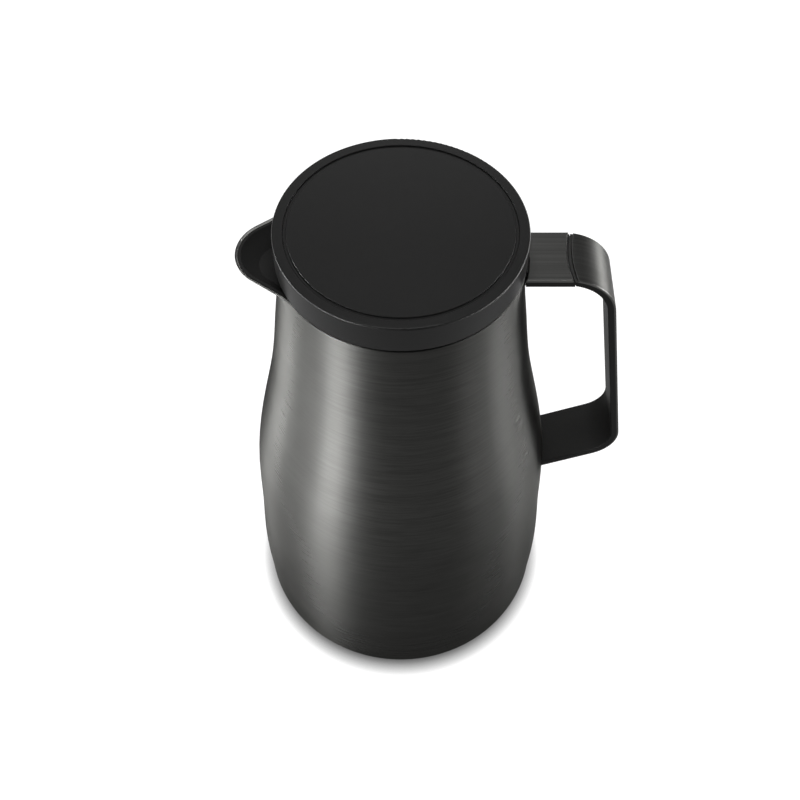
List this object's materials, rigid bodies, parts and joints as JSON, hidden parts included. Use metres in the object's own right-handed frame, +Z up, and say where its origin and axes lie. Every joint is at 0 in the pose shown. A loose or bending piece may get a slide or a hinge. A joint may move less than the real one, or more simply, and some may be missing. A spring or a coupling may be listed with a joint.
{
  "type": "thermal jug",
  "caption": "Double-walled thermal jug with a drawn pouring lip, a bent strap handle and a flat insulated lid that a thumb plate on the handle tilts open.",
  "frame": {"origin": "centre of the flat underside, on the body's axis", "axes": "+Z up along the body's axis, +X towards the handle, the pouring lip at -X"},
  "size_m": [0.1472, 0.1228, 0.22],
  "materials": {
    "shell_steel": "dark brushed steel, brushed round the body",
    "plain_steel": "bare drawn steel",
    "strap_steel": "dark brushed steel, brushed along the strap",
    "black_satin": "satin black moulding",
    "black_plain": "plain black moulding",
    "foam": "light foam",
    "rubber": "soft black rubber",
    "silicone": "grey silicone",
    "screw_steel": "zinc-plated screws and pins"
  },
  "bodies": {
    "jug": {"outer_shell": "shell_steel", "shell_base": "plain_steel", "foot_pad": "rubber", "inner_flask": "plain_steel", "neck_ring": "plain_steel", "getter": "plain_steel", "seal_cup": "plain_steel", "mouth_seal": "silicone", "pouring_insert": "black_plain", "handle_skin": "strap_steel", "handle_core": "black_plain", "upper_bracket": "black_plain", "lower_lug": "plain_steel", "handle_screw_front": "screw_steel", "handle_screw_back": "screw_steel"},
    "pin": {"hinge_pin": "screw_steel"},
    "lid": {"lid_ring": "black_satin", "lid_disc": "black_satin", "lid_plug": "black_plain", "lid_insulation": "foam", "lid_gasket": "silicone", "lid_arm": "black_plain", "thumb_plate": "strap_steel", "arm_screw_front": "screw_steel", "arm_screw_back": "screw_steel", "lid_screw_back": "screw_steel", "lid_screw_spout": "screw_steel", "lid_screw_front": "screw_steel"}
  },
  "joints": [
    {"name": "lid_lift_out", "type": "slide", "parent": "jug", "child": "pin", "axis": [0, 0, 1], "range_m": [0, 0.12]},
    {"name": "lid_tilt", "type": "hinge", "parent": "pin", "child": "lid", "pos_m": [0.0461, 0, 0.2014], "axis": [0, 1, 0], "range_deg": [0, 15]}
  ]
}
